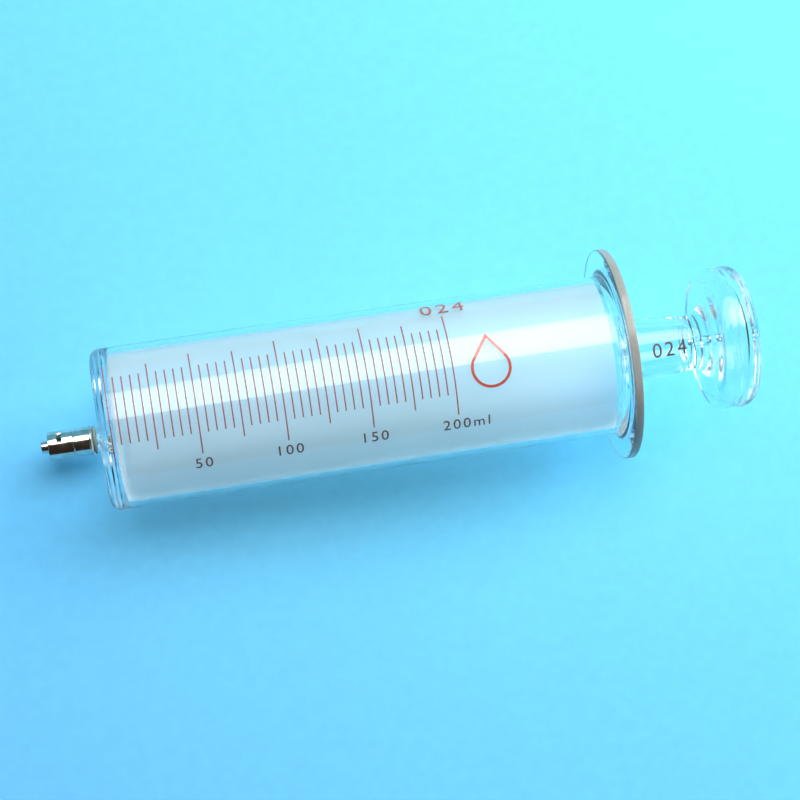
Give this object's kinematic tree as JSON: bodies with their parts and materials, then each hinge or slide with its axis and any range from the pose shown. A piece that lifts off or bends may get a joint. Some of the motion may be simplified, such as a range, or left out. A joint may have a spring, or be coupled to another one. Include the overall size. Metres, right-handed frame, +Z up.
{
  "type": "glass syringe",
  "caption": "Large all-glass syringe with a printed millilitre scale, round finger flange, ground hollow plunger with a drum head, and a metal luer-lock tip.",
  "frame": {"origin": "bottom centre of the object's box, on the surface it lies on", "axes": "+X along the syringe towards the plunger's head, +Z up; the syringe lies on its finger flange and the edge of its base, so its own axis rises by 2.97 degrees from +X towards +Z"},
  "size_m": [0.2342, 0.0694, 0.0694],
  "materials": {
    "barrel_glass": "polished",
    "ground_glass": "matte",
    "nickel_plate": "polished",
    "cement": "matte",
    "scale_enamel": "satin"
  },
  "bodies": {
    "barrel": {"barrel": "barrel_glass", "luer_hub": "nickel_plate", "lock_collar": "nickel_plate", "cement_ring": "cement"},
    "plunger": {"plunger": "ground_glass"}
  },
  "joints": [
    {"name": "plunger_slide", "type": "slide", "parent": "barrel", "child": "plunger", "axis": [0.9987, 0, 0.0518], "range_m": [0, 0.1087]}
  ]
}
